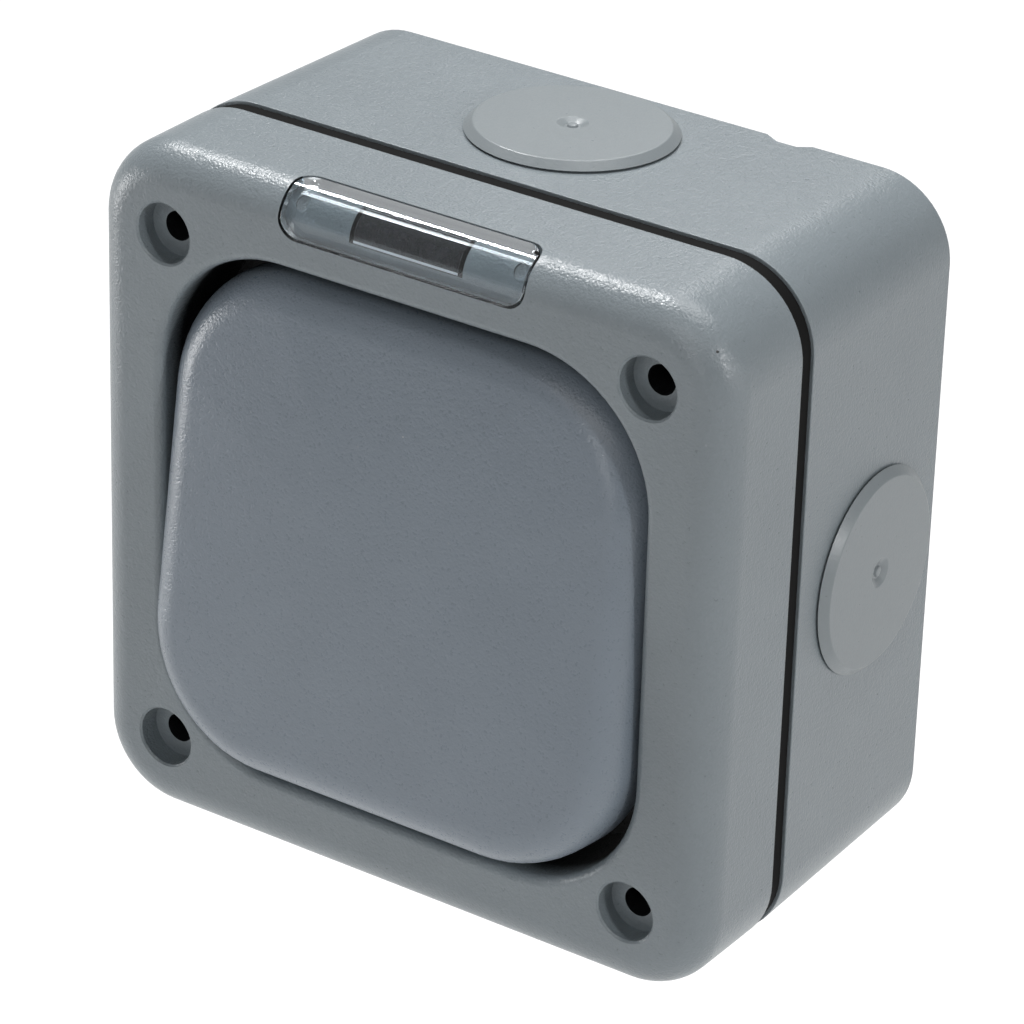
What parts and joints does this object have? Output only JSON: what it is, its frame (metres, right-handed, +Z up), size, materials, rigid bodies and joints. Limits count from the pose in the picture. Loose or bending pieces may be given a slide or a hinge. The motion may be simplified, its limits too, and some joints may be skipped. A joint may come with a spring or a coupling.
{
  "type": "outdoor weatherproof switch",
  "caption": "Square surface-mounted weatherproof light switch: box, seal and cover with a large rocker, a clear lens and plugged cable entries.",
  "frame": {"origin": "centre of the back face, which lies on the wall", "axes": "+Z up, +X to the right seen from the front, +Y into the wall, the rocker faces -Y"},
  "size_m": [0.0902, 0.056, 0.0902],
  "materials": {
    "enclosure_plastic": "fine spark-eroded grain, cool mid grey",
    "rocker_plastic": "fine spark-eroded grain, cool mid grey",
    "plug_plastic": "satin, cool mid grey",
    "seal_rubber": "satin black",
    "lens_clear": "clear moulded polycarbonate with a faint smoky tint",
    "module_plastic": "moulded thermoset",
    "dolly_plastic": "plain moulded",
    "terminal_brass": "drawn and cut",
    "contact_silver": "silver alloy",
    "plated_steel": "zinc plated"
  },
  "bodies": {
    "enclosure": {"back_box": "enclosure_plastic", "lid_gasket": "seal_rubber", "front_cover": "enclosure_plastic", "indicator_lens": "lens_clear", "entry_plug_top": "plug_plastic", "entry_plug_right": "plug_plastic", "entry_plug_bottom": "plug_plastic", "entry_plug_left": "plug_plastic", "actuator_seal": "seal_rubber", "module_front": "module_plastic", "module_base": "module_plastic", "module_screws": "plated_steel", "upper_terminal": "terminal_brass", "common_terminal": "terminal_brass", "lower_terminal": "terminal_brass", "terminal_screws": "plated_steel", "fixed_contact_tips": "contact_silver", "earth_terminal": "terminal_brass", "earth_screw": "plated_steel"},
    "rocker": {"rocker": "rocker_plastic"},
    "dolly": {"dolly": "dolly_plastic", "plunger": "dolly_plastic", "plunger_spring": "plated_steel"},
    "contact": {"moving_contact": "terminal_brass", "moving_contact_tips": "contact_silver"}
  },
  "joints": [
    {"name": "rocker_pivot", "type": "hinge", "parent": "enclosure", "child": "rocker", "pos_m": [0, -0.0435, 0], "axis": [1, 0, 0], "range_deg": [0, 16], "deforming": ["actuator_seal"]},
    {"name": "dolly_pivot", "type": "hinge", "parent": "enclosure", "child": "dolly", "pos_m": [0, -0.03, 0], "axis": [1, 0, 0], "range_deg": [0, 16]},
    {"name": "contact_pivot", "type": "hinge", "parent": "enclosure", "child": "contact", "pos_m": [0, -0.0195, 0], "axis": [1, 0, 0], "range_deg": [-12, 0]}
  ],
  "couplings": [
    {"joint": "dolly_pivot", "follows": "rocker_pivot", "ratio": 1},
    {"joint": "contact_pivot", "follows": "rocker_pivot", "ratio": -0.75}
  ]
}
